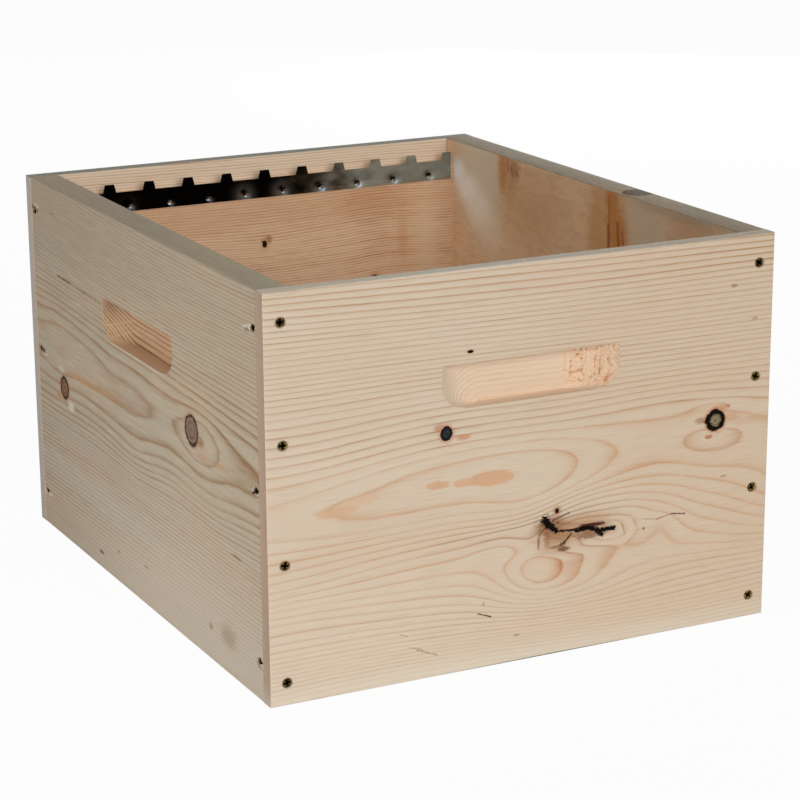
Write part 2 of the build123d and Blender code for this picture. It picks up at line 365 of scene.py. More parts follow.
# The left board's tones are darker than the other boards': the grey weathering of this side together with painted
# shade, the same wood set darker for a face that the lamps light less.
leftSpruce = dict(
    sideSpruce, seed=11, ring=2.1, pith=(136, 1, 140), start=0.85, lean=1.31 / 250, wobble=0.16, lateShare=0.18,
    fade=(1.05, 60, 100, 1.3, 205, 240, 2.3), early=(173, 162, 143), earlyFar=(186, 172, 150), late=(148, 114, 78),
    fresh=(200, 167, 133), freshLate=(140, 86, 48), freshDepth=(0.1, 1.4), rim=(171, 159, 140),
    rimFar=(175, 162, 139), insideLines=0.9, holdLines=1.4, sillLines=0.25, sillPaintedLight=0.4, flecks=0.1,
    broad=[(262, 142, 60, 14, -0.11)],
    dusk=[
        # (191, 78) is painted shade: darker summer wood in the upper left end of the hand-hold.
        (140, 152, 80, 8, 0.6, (170, 118, 70)), (191, 78, 10, 9, 0.6, (96, 58, 34)),
        (385, 182, 110, 18, 0.8, (176, 160, 136)),
    ],
    swells=[
        (193.4, 122.8, 35, 26.9, 0.3), (114, 166.1, 64, 20.7, 0.5), (384, 139.5, 39, 22, -1.5),
        (400.5, 187.8, 58.7, 23.6, -1.2), (489.1, 167.6, 48.5, 27.6, -0.5), (14.5, 139.9, 37.6, 45, 1),
        (205, 234, 300, 30.3, 2.1), (205, 65, 300, 28.3, 2), (242.8, 194, 59.2, 27, -1.3),
        (295, 14.8, 375, 42.4, 5.4), (205, 312.9, 307.9, 32.2, -2.9),
    ],
    knots=[
        ((366, 0, 135.2), (12.7, 0, 12.2), (146, 120, 102), (98, 74, 60), 0.17, (44, 28, 20), 0.95, 0.2,
         (168, 128, 98), 0.6),
        ((78.3, 0, 171.9), (10.2, 0, 9.8), (140, 98, 70), (84, 55, 38), 0.24, (30, 19, 13), 0.95, 0.3,
         (168, 122, 84), 0.6),
    ],
    stainsAndPaintedLight=[
        # (420, 330) is painted light, the face paler towards the bottom where the floor throws light up; (120, 0) is
        # painted shade, the face darker towards the top.
        (420, 330, 400, 120, (208, 197, 180), 0.68, 0, 0), (110, 248, 200, 13, (196, 192, 180), 0.3, 0, 0),
        (90, 214, 100, 8, (178, 186, 178), 0.15, 0, 0), (120, 0, 300, 70, (158, 143, 122), 0.4, 0, 0),
        (122, 155, 42, 3, (186, 144, 102), 0.5, 1, 0.2), (64, 182, 9, 3, (176, 126, 84), 0.7, 1, 0.3),
        (429, 281, 17, 10, (150, 128, 92), 0.5, 0.9, 0.1), (394, 284, 4, 3.4, (164, 132, 92), 0.75, 1, 0.4),
        (155, 297, 6, 1.6, (84, 66, 50), 0.85, 1, 0.5), (197, 284, 3.5, 2, (108, 88, 68), 0.4, 1.2, 0.4),
        (448, 212, 11, 1.4, (140, 100, 66), 0.7, 1, 0.3), (388, 150, 16, 4, (190, 146, 104), 0.5, 0.8, 0.2),
        (93, 185, 8, 5, (210, 202, 186), 0.8, 1.2, 0.3), (72, 157, 9, 3, (200, 192, 176), 0.6, 1.2, 0.3),
        (420, 150, 20, 3, (186, 146, 106), 0.5, 1, 0.3), (260, 278, 5, 1.6, (150, 122, 88), 0.6, 1.2, 0.4),
        (64, 23, 5, 1.6, (128, 112, 92), 0.5, 1.2, 0.3),
    ],
    # painted shade in the upper left end of the hand-hold
    holdPaintedShade=[(186, 77, 10, 10, (190, 176, 170), 0.55)],
    strokes=[
        (72, 74.4, 104, 75, 0.9, (96, 72, 50), 0.85), (104, 75, 122, 75.6, 0.7, (120, 96, 70), 0.7),
        (122, 75.6, 142, 76, 0.8, (106, 82, 60), 0.8), (142, 76, 178, 77, 0.6, (122, 96, 70), 0.7),
        (182, 94, 214, 85.2, 0.5, (212, 176, 140), 0.6), (190, 102.6, 226, 89, 0.5, (214, 178, 142), 0.55),
        # (198, 105.4) is a painted highlight along the lower edge of the hand-hold.
        (186, 99, 206, 91, 0.4, (206, 168, 130), 0.5), (198, 105.4, 258, 105.4, 0.5, (214, 204, 186), 0.5),
        (12.5, 25.2, 27, 26.2, 1.8, (126, 90, 58), 0.8), (13.5, 24.4, 21, 25.2, 0.8, (88, 60, 38), 0.8),
        (22, 21.6, 31, 23.4, 1, (206, 196, 176), 0.7), (19.5, 150.8, 29, 149.8, 1.7, (34, 24, 17), 0.9),
        (27, 154, 37, 152.4, 1, (206, 196, 178), 0.6), (20.5, 279.6, 29, 279, 0.9, (70, 52, 36), 0.85),
        (22, 283.2, 31, 281.6, 1.1, (206, 196, 178), 0.7), (470, 30.6, 481, 28.8, 1, (210, 200, 184), 0.7),
        (474, 32.4, 483, 31.4, 1.1, (132, 108, 84), 0.7), (481, 152, 488, 148.6, 1.6, (40, 30, 22), 0.9),
        (481, 283, 489, 285.4, 1.1, (122, 112, 98), 0.7),
    ],
)
backSpruce = dict(
    plainSpruce, seed=23, marksInside=True, ring=2.25, pith=(70, 1, -140), start=0.3, lean=0.004, wobble=0.5,
    lateShare=0.24, lateDepth=0.9, early=(232, 215, 192), earlyFar=(232, 215, 192), late=(178, 130, 88),
    fresh=(231, 200, 168), freshLate=(184, 112, 60), rim=(146, 145, 136), rimFar=(141, 141, 132), end=(172, 167, 163),
    endLate=(142, 134, 127), insideLines=1.05, flecks=0.2,
    dusk=[(104, 60, 30, 40, 0.6, (150, 92, 52))],
    swells=[
        (110, 40, 70, 30, 1.1), (220, 78, 46, 18, -1.2), (92, 96, 42, 44, 1.6), (300, 150, 120, 50, -1.4),
        (120, 210, 90, 40, 1.8), (330, 262, 90, 40, 1.2),
    ],
    knots=[
        ((217, 0, 78.4), (2.2, 0, 3.2), (34, 24, 18), (26, 18, 14), 0.3, (60, 38, 24), 0.8, 1.2,
         (196, 146, 104), 0.45),
        ((107, 0, 121), (3.4, 0, 2.6), (58, 38, 24), (40, 26, 18), 0.3, (74, 46, 28), 0.7, 1.2, (190, 136, 92), 0.5),
        ((318, 0, 214), (9, 0, 8), (154, 116, 84), (128, 92, 66), 0.2, (58, 40, 28), 0.9, 0.4, (196, 146, 98), 0.5),
    ],
    stainsAndPaintedLight=[
        # (215, 44) is painted shadow: the rail's shadow on the inner face below it.
        (215, 44, 260, 22, (190, 146, 110), 0.35, 0.3, 0), (112, 52, 36, 20, (186, 130, 88), 0.3, 0.9, 0.1),
        (78, 84, 6, 28, (196, 140, 94), 0.35, 1.2, 0.1), (240, 180, 34, 5, (206, 156, 108), 0.6, 0.8, 0.6),
        (213, 74.5, 3.6, 4.4, (170, 112, 66), 0.8, 0.6, 0.3), (92, 96, 30, 26, (206, 150, 104), 0.15, 1.2, 0.1),
        (52, 86, 14, 40, (232, 202, 168), 0.45, 0.8, 0.1),
    ],
    strokes=[(219, 76, 215.4, 80.4, 1, (26, 18, 14), 0.9)],
)
rightSpruce = dict(
    sideSpruce, seed=37, marksInside=True, ring=2, pith=(150, -1, 190), start=0.6, lean=-0.003, wobble=0.28,
    lateShare=0.26, lateDepth=0.85, early=(216, 199, 173), earlyFar=(216, 199, 173), late=(176, 132, 92),
    fresh=(240, 204, 164), freshLate=(176, 124, 80), freshDepth=(0.2, 5), rim=(151, 136, 115), rimFar=(157, 145, 126),
    insideLines=0.35, holdLines=1.2, sillLines=0.4, flecks=0.15, mottle=0.16,
    swells=[
        (120, 120, 80, 30, 1.4), (330, 90, 110, 26, -1.6), (250, 210, 140, 34, 2.2), (420, 180, 60, 40, -1.2),
        (60, 240, 80, 40, 1.6),
    ],
    knots=[
        ((184, 9.3, -2), (12.6, 12.6, 14), (108, 94, 73), (80, 67, 51), 0.13, (42, 34, 27), 0.9, 0.3,
         (170, 140, 108), 0.4),
        ((352, 0, 208), (9.5, 0, 8.6), (154, 118, 86), (128, 94, 68), 0.2, (58, 40, 28), 0.9, 0.4,
         (194, 146, 100), 0.5),
    ],
    stainsAndPaintedLight=[
        # (428, 22) is painted light: a paler zone towards the back corner.
        (428, 22, 44, 62, (224, 214, 192), 0.75, 0.4, 0), (140, 24, 34, 44, (196, 190, 170), 0.5, 0.4, 0),
        (78, 20, 34, 44, (186, 140, 106), 0.5, 0.3, 0), (95, 1, 110, 7, (172, 154, 132), 0.6, 0.6, 0),
        (386, 12, 9, 24, (198, 134, 70), 0.8, 1.2, 0.2), (372, 14, 12, 30, (196, 144, 96), 0.6, 1.2, 0.1),
        (330, 40, 60, 40, (196, 144, 100), 0.4, 0.8, 0), (222, 40, 18, 50, (204, 148, 92), 0.7, 1.1, 0.1),
        (200, 4, 12, 26, (196, 130, 64), 0.85, 1.1, 0.2), (188, 38, 20, 34, (196, 130, 62), 0.88, 1.1, 0.3),
        # (470, 27), (452, 40), (430, 56) and (406, 76) are a painted reflection: light thrown off the rail, a band
        # falling from the back corner towards the front.
        (164, 20, 14, 40, (214, 192, 164), 0.5, 0.8, 0.1), (470, 27, 15, 12, (254, 249, 240), 1, 0.3, 0),
        (452, 40, 22, 15, (254, 246, 234), 1, 0.3, 0), (430, 56, 26, 20, (252, 240, 222), 0.8, 0.3, 0),
        (406, 76, 24, 22, (244, 224, 198), 0.5, 0.4, 0), (440, 6, 30, 16, (232, 214, 184), 0.6, 0.4, 0),
        (362, 8, 10, 10, (168, 124, 90), 0.6, 1.6, 0.3),
    ],
    strokes=[
        (203, 6, 202, 46, 1.6, (168, 102, 48), 0.6), (204, 30, 203, 50, 2.2, (140, 80, 36), 0.6),
        (189, 26, 187, 48, 2, (132, 76, 36), 0.6), (182, 30, 180, 44, 1.4, (132, 76, 38), 0.5),
        (377, 1, 376, 12, 1.4, (150, 100, 62), 0.6), (370, 8, 368, 15, 1.6, (140, 96, 66), 0.6),
        (361, 11, 360, 13, 1.4, (132, 92, 64), 0.6),
    ],
)
spruce = {"front": frontSpruce, "left": leftSpruce, "back": backSpruce, "right": rightSpruce}

# lengths of a cloud along a, d and t, the step of its seed, detail, roughness
woodClouds = dict(
    slow=((150, 22, 22), 0, 1, 0.5), quick=((46, 5, 5), 5, 2, 0.5), patchy=((70, 6, 6), 9, 3, 0.5),
    drift=((170, 40, 46), 13, 2, 0.5), fibre=((30, 0.8, 0.8), 17, 4, 0.65), pores=((3.4, 0.32, 0.32), 21, 1, 0.5),
    ragged=((9, 3, 3), 29, 3, 0.6), crumbs=((2.2, 1.2, 1.2), 31, 4, 0.7), fuzz=((7, 0.8, 0.8), 33, 3, 0.5),
    pits=((1.3, 1.3, 1), 37, 2, 0.6), flecks=((5, 1.6, 1.6), 41, 3, 0.7), mottle=((14, 5, 5), 45, 4, 0.65),
)
# slow drift of warmth, fine fibres, dry flecks on rims, mottled inner faces and pores:
# cloud, its values where a streak is empty and full, amount, tone, blend
woodStreaks = [
    ("drift", 0.35, 0.75, 0.16, (214, 172, 132), "MIX"), ("fibre", 0.52, 0.75, 0.26, (160, 126, 94), "MULTIPLY"),
    ("fibre", 0.48, 0.25, 0.26, (246, 236, 220), "MIX"), ("flecks", 0.5, 0.66, 1, (222, 216, 204), "MIX"),
    ("mottle", 0.42, 0.68, 1, (166, 116, 74), "MULTIPLY"), ("pores", 0.7, 0.84, 0.16, (140, 102, 70), "MIX"),
]
# sill is the tone of the painted light on the hand-hold's upward sill
woodTone = dict(
    sill=(234, 200, 166), rimLine=(220.6, 220.6, 220.6), torn=(248, 214, 181), pit=(200, 132, 80), dirt=(70, 54, 40),
    dry=(222, 216, 204),
)


# a, d = x or y measured from the wall's left end and from its outer face; t = box height - z
def boardFrame(sheet, wall):
    axes = sheet.wires("ShaderNodeSeparateXYZ", {0: sheet.place()}, 0, 1, 2)
    (ax, ay), (ix, iy), (fx, fy) = wall["along"], wall["inward"], wall["face"]
    a = axes[0 if ax else 1] * (ax + ay) + wall["half"]
    d = axes[0 if ix else 1] * (ix + iy) - (fx * ix + fy * iy)
    t = boxHeight - axes[2]
    return a, d, t, sheet.add("ShaderNodeCombineXYZ", {0: a, 1: d, 2: t})


# rings = start + distance from the pith / ring width + lean along the board + swells + a slow and a quick wobble;
# in the upper part they lie closer as far as a soft bend
def ringCount(sheet, board, a, d, t, point, cloud):
    depth, turn, height = board["pith"]
    across, up = d * turn + depth, t - height
    radius = (across * across + up * up) ** 0.5 - depth
    rings = radius / board["ring"] + (a - board["middle"]) * board["lean"] + board["start"]
    if board["upper"]:
        share, bend, low, high = board["upper"]
        past, soft = radius - bend, 4
        below = (radius + bend - (past * past + soft**2) ** 0.5) * 0.5
        rings = rings + below * t.ease(low, high) * share
    for *spot, add in board["swells"]:
        rings = rings + sheet.blot(point, *spot) * add
    wobble = (cloud["slow"] - 0.5) * 2.4 + (cloud["quick"] - 0.5) * 1.2
    return rings + wobble * board["wobble"]


# summer wood = exp((phase - 1) / width) before each whole ring + exp(-phase / fall) after it,
# times the strength of the year, of the patch and of the level on the board
def summerWood(sheet, board, rings, t, point, cloud):
    phase, year, fall = rings.calc("FRACT"), (rings + 0.5).calc("FLOOR") + board["seed"], 0.05
    strength = sheet.add("ShaderNodeTexWhiteNoise", {"W": year}, noise_dimensions="1D") * 0.55 + 0.62
    wide = board["lateShare"]
    for *spot, more in board["broad"]:
        wide = wide + sheet.blot(point, *spot) * more
    line = ((phase - 1) / wide).exp() + (phase / -fall).exp()
    late = (line * board["lateDepth"]).within(0, 1) * strength * (cloud["patchy"] * 1.3 + 0.3)
    if board["fade"]:
        top, topEnd, midStart, mid, midEnd, lowStart, low = board["fade"]
        late = late * (t.ease(topEnd, midStart) * (mid - top) + t.ease(midEnd, lowStart) * (low - mid) + top)
    return late.within(0, 1)


# stains, painted light and painted shade = exp(-distance^2) with shredded edges; stroke = distance / half width with
# crumbled edges; knot = halo exp(-((distance - 1) / width)^2), heart in waves of the distance, dark rim at its edge
def woodMarks(sheet, board, colour, point, shown, cut, ragged, crumbs):
    shred = ragged * 0.7 + crumbs * 0.6
    for *spot, markTone, amount, rough, hard in board["stainsAndPaintedLight"]:
        spread = sheet.blot(point, *spot)
        edge = (spread + shred * spread**0.4 * rough).ease(0.02 + 0.36 * hard, 0.98 - 0.44 * hard)
        colour = sheet.mix(edge * amount * shown, colour, markTone)
    # painted shade inside the hand-hold
    for *spot, markTone, amount in board["holdPaintedShade"]:
        colour = sheet.mix(sheet.blot(point, *spot) * cut * amount, colour, markTone, "MULTIPLY")
    flat, shred = sheet.vector("MULTIPLY", point, (1, 0, 1)), ragged * 1.6 + crumbs * 3.4
    for startA, startT, endA, endT, half, markTone, amount in board["strokes"]:
        far = sheet.stroke(flat, (startA, 0, startT), (endA, 0, endT)) / half + shred
        colour = sheet.mix(far.ease(1.25, 0.75) * amount * shown, colour, markTone)
    shred, outEdge, inEdge, waves = ragged * 0.45 + crumbs * 0.22, 1.04, 0.94, 15
    for centre, radii, core, heart, ring, rim, rimDepth, halo, haloTone, haloDepth in board["knots"]:
        far = sheet.reach(point, centre, radii) + shred
        glow = (far - 1) / halo
        colour = sheet.mix((glow * glow * -1).exp() * haloDepth, colour, haloTone)
        wavy = ((far * waves).calc("SINE") * 0.3 + crumbs * 1.6 + 0.45).within(0, 1)
        colour = sheet.mix(far.ease(outEdge, inEdge), colour, sheet.mix(wavy, core, heart))
        band = far.ease(inEdge - ring, outEdge - ring) * far.ease(1.1, 0.98)
        colour = sheet.mix(band * rimDepth, colour, rim)
    return colour


# darker ring and splinters round the screws by (distance along / span)^2 + (distance up / span)^2
def screwMarks(sheet, board, colour, columns, rows, d, ragged, crumbs):
    near, wide = ((columns / spanA) ** 2 + (rows / spanT) ** 2
                  for spanA, spanT in (board["screwSplit"], board["splinterSpan"]))
    dirt = (near + ragged * 0.6).ease(1.25, 0.65) * d.ease(3, 1) * 0.6
    colour = sheet.mix(dirt, colour, woodTone["dirt"])
    splinters = (ragged + crumbs).ease(0.02, 0.16) * wide.ease(1.1, 0.35) * d.ease(1, 0.5) * board["splinters"]
    return sheet.mix(splinters, colour, woodTone["dry"])


# colour = spring wood mixed with summer wood, both dull on outer faces and rims and fresh where cut,
# then streaks, end grain, marks with some painted light and shade, torn grain, and a darker ring and splinters round
# the screws
def spruceFinish(name, board, wall, screwS, screwZ):
    sheet = Sheet(bpy.data.materials.new(name))
    a, d, t, point = boardFrame(sheet, wall)
    cloud = {key: sheet.cloud(point, lengths, board["seed"] + step, detail, rough)
             for key, (lengths, step, detail, rough) in woodClouds.items()}
    ragged, crumbs, fibre, pits = cloud["ragged"] - 0.5, cloud["crumbs"] - 0.5, cloud["fibre"], cloud["pits"]
    late = summerWood(sheet, board, ringCount(sheet, board, a, d, t, point, cloud), t, point, cloud)

    # inner face, rim, frame rest, outer face and upward sill of the hand-hold
    inside, rim, normal = d.ease(23, 24.2), t.ease(1, 0.25), sheet.normal()
    rest = t.ease(22.5, 20.5) * (d - 12.5).size().ease(1.6, 1.2)
    near, deep = board["freshDepth"]
    outer = d.ease(deep, near).calc("MAXIMUM", rest * 0.92)
    sill = sheet.dot(normal, (0, 0, 1)).ease(0.6, 0.9) * t.ease(30, 60)
    bare = board["holdLines"]
    late = late * ((outer * (1 - bare) + bare) * (1 - inside) + inside * board["insideLines"])
    late = late * (1 - sill * (1 - board["sillLines"]))

    # tones of spring and summer wood
    along = a.ease(0, 2 * wall["half"])
    early = sheet.mix(outer, board["fresh"], sheet.mix(along, board["early"], board["earlyFar"]))
    # painted light: the hand-hold's sill, which faces up, is paler
    early = sheet.mix(sill * board["sillPaintedLight"], early, woodTone["sill"])
    dark = board["late"]
    if board["warm"]:
        warm, (warmFrom, warmFull), (warmUntil, warmEnd) = board["warm"]
        dark = sheet.mix(t.ease(warmFrom, warmFull) * t.ease(warmEnd, warmUntil), dark, warm)
    dark = sheet.mix(outer, board["freshLate"], dark)
    stronger = 1
    for *spot, amount, dusk in board["dusk"]:
        spread = sheet.blot(point, *spot) * amount
        dark = sheet.mix(spread, dark, dusk)
        stronger = spread * 0.8 + stronger
    late = (late * stronger).within(0, 1)
    rimTone = sheet.mix(along, board["rim"], board["rimFar"])
    dark = sheet.mix(rim, dark, sheet.mix(1, rimTone, woodTone["rimLine"], "MULTIPLY"))
    colour = sheet.mix(late, sheet.mix(rim, early, rimTone), dark)
    where = {"flecks": rim * board["flecks"], "mottle": inside * board["mottle"]}
    for key, empty, full, amount, streak, blend in woodStreaks:
        colour = sheet.mix(cloud[key].ease(empty, full) * where.get(key, amount), colour, streak, blend)

    # end grain: the boards' ends, and a little of it where a cut slopes across the grain
    ends = sheet.dot(normal, (*wall["along"], 0)).size().ease(0.75, 0.95)
    colour = sheet.mix(ends * 0.8, colour, sheet.mix(late, board["end"], board["endLate"]))
    shown = d.ease(14, 20) * (1 - rim) if board["marksInside"] else 1
    cut = d.ease(0.3, 0.9) * (1 - inside)
    colour = woodMarks(sheet, board, colour, point, shown, cut, ragged, crumbs)

    # torn grain, from the mesh: how deep a fibre was pulled out
    torn = sheet.mark("torn")
    colour = sheet.mix(torn.ease(0.02, 0.3) * 0.65, colour, woodTone["torn"])
    pitted = torn + (pits - 0.5) * torn.ease(0.02, 0.2) * 1.5
    colour = sheet.mix(pitted.ease(0.46, 0.84) * 0.75, colour, woodTone["pit"])
    columns = ((a - wall["half"]).size() - screwS).size()
    rows = (t - (boxHeight - screwZ[0])).size()
    for z in screwZ[1:]:
        rows = rows.calc("MINIMUM", (t - (boxHeight - z)).size())
    colour = screwMarks(sheet, board, colour, columns, rows, d, ragged, crumbs)

    # fibres stand a little proud of the planed face; rims, ends and torn grain are rougher
    grain = fibre * 0.8 + cloud["fuzz"] * (rim + ends * 1.5 + 0.25) + pits * torn * 3
    rough = fibre * 0.16 + 0.5 - late * 0.08 + rim * 0.12
    return sheet.finish({"Base Color": colour, "Roughness": rough, "Specular IOR Level": 0.04}, grain, 0.12, 0.55)


# Boards

longRows, sideRows = (17.5, 107.83, 198.17, 288.5), (30, 161, 282)
boardShape = dict(
    lap=190, lapThick=13, thick=25, sideHalf=239.5, restHeight=290, restThick=12, edge=0.7,
    edgeLines=(0, 0.08, 0.3, 0.6, 1), gripLow=206.5, gripHigh=240.5, gripDepth=13.7, gripFlat=34, gripRun=41.6,
    gripShift=2, cornerRun=24, cornerRise=16, cornerBlend=14, bendReach=22, hair=0.02,
    screwS=dict(front=201.5, back=201.5, left=233.5, right=233.5),
    screwZ=dict(front=longRows, back=longRows, left=sideRows, right=sideRows),
)
# steps of the grid, and how far the finer ones reach past the hand-hold and round the screws
boardGrid = dict(
    step=6, gripS=1.5, gripZ=0.9, gripPast=2, gripBelow=3, gripAbove=1, screwS=5.5, screwZ=5, tornFrom=20, tornPast=1,
    tornS=0.8, pocket=(92, 110, 0.9),
)
# seats of the screws: spread along s and z, raggedness, its lengths and seed, step of the grid,
# and dips: where each is full, where it ends, how deep
cleanSeat = dict(spread=(1, 1), ragged=0.6, lengths=(1.7, 1.7), seed=5, step=0.8,
                 dips=((3.6, 4.3, 0.4), (2.5, 3.3, 2.9)))
tornSeat = dict(spread=(1.45, 0.95), ragged=2.2, lengths=(1.6, 1.2), seed=6, step=0.5,
                dips=((2, 4.2, 0.8), (1.6, 3.2, 2.6)))
tornShape = dict(start=29, wander=(5, 3), blend=6, depth=(0.05, 1.2), height=(207, 210.5), relief=2.4)
pocketShape = dict(t=204.5, fall=12.5, run=(12, 76), sway=1.6, width=(0.6, 2.4), deep=1.5, opens=(10, 16),
                   closes=(70, 78))


# run of the hand-hold's ends at a height: full above the rounded corner, a quarter ellipse shorter in it
def gripRun(z, k):
    level = np.clip((z - k["gripLow"]) / k["cornerRise"], 0, 1)
    run = k["gripRun"] - k["cornerRun"] * (1 - np.sqrt(1 - (1 - level) ** 2))
    below = np.clip((k["gripLow"] - z) / k["cornerBlend"], 0, 1)
    return np.where(z < k["gripLow"], run + (k["gripRun"] - run) * below, run)


# hand-hold depth: flat in the middle, then a circle through full depth and the face over the run
def gripDepth(s, z, k):
    run = gripRun(z, k)
    circle = (run**2 + k["gripDepth"] ** 2) / (2 * k["gripDepth"])
    past = np.clip(np.abs(s - k["gripShift"]) - k["gripFlat"], 0, run)
    depth = k["gripDepth"] - (circle - np.sqrt(circle**2 - past**2))
    return np.where((z > k["gripLow"]) & (z < k["gripHigh"]), np.maximum(depth, 0), 0)


# lines by the hand-hold follow its rounded corners: s stretched by the run at this height, blended out past the ends
def bendLines(s, z, k):
    run, full, reach = gripRun(z, k), k["gripRun"], k["bendReach"]
    off = np.abs(s - k["gripShift"]) - k["gripFlat"]
    bent = np.where(off < full, off * run / full, run + (off - full) * (reach + full - run) / reach)
    bent = np.where((off > 0) & (off < full + reach), bent, off)
    return np.where(off > 0, k["gripShift"] + np.sign(s - k["gripShift"]) * (k["gripFlat"] + bent), s)


# distance from the nearest border turned into a quarter round of the edge
def edgeDrop(distance, radius):
    inside = np.clip(1 - distance / radius, 0, 1)
    return radius * (1 - np.sqrt(1 - inside**2))


# torn grain at the right end of the front hand-hold: depth = share * (fissures^8 along lines of equal depth
# + flakes * crumbs + crumbs^2), and how torn the wood is from 0 to 1
def tornGrain(s, z, hold):
    k, (coarse, fine) = tornShape, tornShape["wander"]
    start = k["start"] + coarse * softNoise(z / 4.1, z * 0 + 2, 41) + fine * softNoise(z / 1.3, z * 0 + 1, 42)
    share = ease(0, k["blend"], s - start) * ease(*k["depth"], hold) * ease(*k["height"], z)
    drift = softNoise(s / 9, z / 9, 43)
    fissure = 1 - np.abs(2 * softNoise(hold / 1.2 + drift, z / 16, 44) - 1)
    flakes, crumbs = softNoise(s / 2.4 + drift, z / 2.2, 45), softNoise(s / 1.2, z / 1.3, 46)
    pulled = np.clip(0.6 * fissure**8 + 0.6 * flakes * crumbs + 0.4 * crumbs**2 - 0.08, 0, 1)
    return share * k["relief"] * pulled, share * (0.1 + 0.9 * pulled)


# pitch pocket in the front board: a shallow slit that falls along the grain, of ragged width, closed at both ends
def pitchPocket(s, z):
    k, (least, more) = pocketShape, pocketShape["width"]
    line = boxHeight - (k["t"] + k["fall"] * ease(*k["run"], s))
    across = np.abs(z - line + k["sway"] * (softNoise(s / 4, s * 0, 51) - 0.5))
    width = least + more * softNoise(s / 5.5, s * 0 + 3, 52)
    return k["deep"] * (1 - ease(0.3 * width, width, across)) * ease(*k["opens"], s) * (1 - ease(*k["closes"], s))


# grid of a board: close lines at the hand-hold, the screws and the edges, and pairs a hair apart at square steps
def boardLines(side, half, seat, screwS, screwZ):
    k, g = boardShape, boardGrid
    hair, shift, grip, step = k["hair"], k["gripShift"], k["gripFlat"] + k["gripRun"], seat["step"]
    edge = k["edge"] * np.array(k["edgeLines"])
    fineS = [(shift - grip - g["gripPast"], shift + grip + g["gripPast"], g["gripS"])]
    fineS += [(s - g["screwS"], s + g["screwS"], step) for s in (-screwS, screwS)]
    fineZ = [(k["gripLow"] - g["gripBelow"], k["gripHigh"] + g["gripAbove"], g["gripZ"])]
    fineZ += [(z - g["screwZ"], z + g["screwZ"], step) for z in screwZ]
    stepS, stepZ = [], [k["gripLow"], k["gripHigh"]]
    if side in ("front", "back"):
        stepS, stepZ = [-k["lap"], k["lap"]], [*stepZ, k["restHeight"]]
    if side == "front":
        fineS.append((shift + g["tornFrom"], shift + grip + g["tornPast"], g["tornS"]))
        fineZ.append(g["pocket"])
    exactS = [*(edge - half), *(half - edge), *(shift + off for off in (-grip, -k["gripFlat"], k["gripFlat"], grip))]
    exactS += [place + by for place in stepS for by in (-hair, hair)]
    exactZ = [*edge, *(boxHeight - edge), *(place + by for place in stepZ for by in (-hair, hair))]
    return gridLines(-half, half, g["step"], fineS, exactS), gridLines(0, boxHeight, g["step"], fineZ, exactZ)


# outer face = edge round or hand-hold + dips at the screws + torn grain and pitch pocket on the front;
# inner face = thickness less the edge round
def buildBoard(side):
    k, wall = boardShape, walls[side]
    lapped = side in ("front", "back")
    half, seat = (wall["half"], cleanSeat) if lapped else (k["sideHalf"], tornSeat)
    screwS, screwZ = k["screwS"][side], k["screwZ"][side]
    s, z = np.meshgrid(*boardLines(side, half, seat, screwS, screwZ))
    bentS = bendLines(s, z, k)
    corner = edgeDrop(np.minimum(np.minimum(s + half, half - s), np.minimum(z, boxHeight - z)), k["edge"])
    hold = gripDepth(bentS, z, k)
    outer = np.maximum(corner, hold)
    (wide, tall), (lengthS, lengthZ) = seat["spread"], seat["lengths"]
    gap = np.hypot((np.abs(s) - screwS) / wide, np.min([np.abs(z - row) for row in screwZ], 0) / tall)
    gap = gap + seat["ragged"] * (softNoise(s / lengthS, z / lengthZ, seat["seed"]) - 0.5)
    for near, far, sunk in seat["dips"]:
        outer = outer + sunk * (1 - ease(near, far, gap))
    torn = np.zeros_like(outer)
    if side == "front":
        relief, torn = tornGrain(bentS, z, hold)
        outer = outer + relief + pitchPocket(s, z)
    inner = np.full_like(outer, k["thick"])
    if lapped:
        inner = np.where(z > k["restHeight"], k["restThick"], inner)
        inner = np.where(np.abs(s) > k["lap"], k["lapThick"], inner)
    points = np.concatenate([wallPoints(wall, bentS, z, outer), wallPoints(wall, s, z, inner - corner)])
    faces = shellFaces(*s.shape)
    marks = {"torn": np.concatenate([torn.ravel(), np.zeros(torn.size)])}
    finish = spruceFinish(side + "Spruce", spruce[side], wall, screwS, screwZ)
    addPiece(side + "Board", points, faces, finish, side + "_board", 30, marks)
    print("board", side, "triangles", 2 * len(faces))


for side in walls:
    buildBoard(side)


# Toothed rails

# lift: spring off the board between nails, shares of its wave and noise; dent: press of a nail, its two reaches;
# bend of the teeth: amount, share back, heights. Painted reflections round a nail: offsets along x and z, reach;
# shine: by nail
railShape = dict(
    low=275.5, edge=293, toothTop=300.2, topHalf=4.1, baseHalf=6, pitch=36.75, shift=-1, frames=10, face=227.5,
    thick=1, step=3, nailStep=0.7, nailReach=5, rows=25, lift=0.16, liftWave=0.7, liftNoise=0.5, liftFrom=(1, 7),
    dent=0.45, dentFrom=(1.5, 7.5), bend=0.12, bendBack=0.2, bendFrom=(285, 301), nailHeight=280,
    lobe=(2.6, -2.2, 2.6), glint=(-2.4, 2.2, 1.9), glare=(2, 0.5, 7.5),
    shine=(0, 0.15, 0, 0, 0.9, 0.9, 0.55, 0.2, 0, 0),
)
nailShape = dict(
    radius=2.75, dome=1.6, seat=0.97, shank=0.8, length=18, point=2.5, pole=0.02, rings=7, turns=20, tilt=0.16,
    dent=0.05, sunk=0.8, seed=dict(front=72, back=71),
)
# painted dark reflection over one end of the rails, the shaded inside of the box mirrored in the steel: dark below
# one x and clear above another
paintedDarkReflection = dict(dark=10, clear=115, ragged=80, tone=(16, 17, 18), rough=0.14, glint=(192, 222, 248))
railSteel = dict(base=(128, 132, 124), bright=(154, 158, 148), rough=(0.34, 0.46), seed=2, patches=(16, 9, 9),
                 scale=paintedDarkReflection, crown=None)
nailSteel = dict(base=(150, 150, 150), bright=(226, 226, 224), rough=(0.08, 0.2), seed=5, patches=(2.4, 2.4, 2.4),
                 scale=None, crown=(8, 8, 9), paintedDarkTopSide=(-0.35, 0, 0.94))
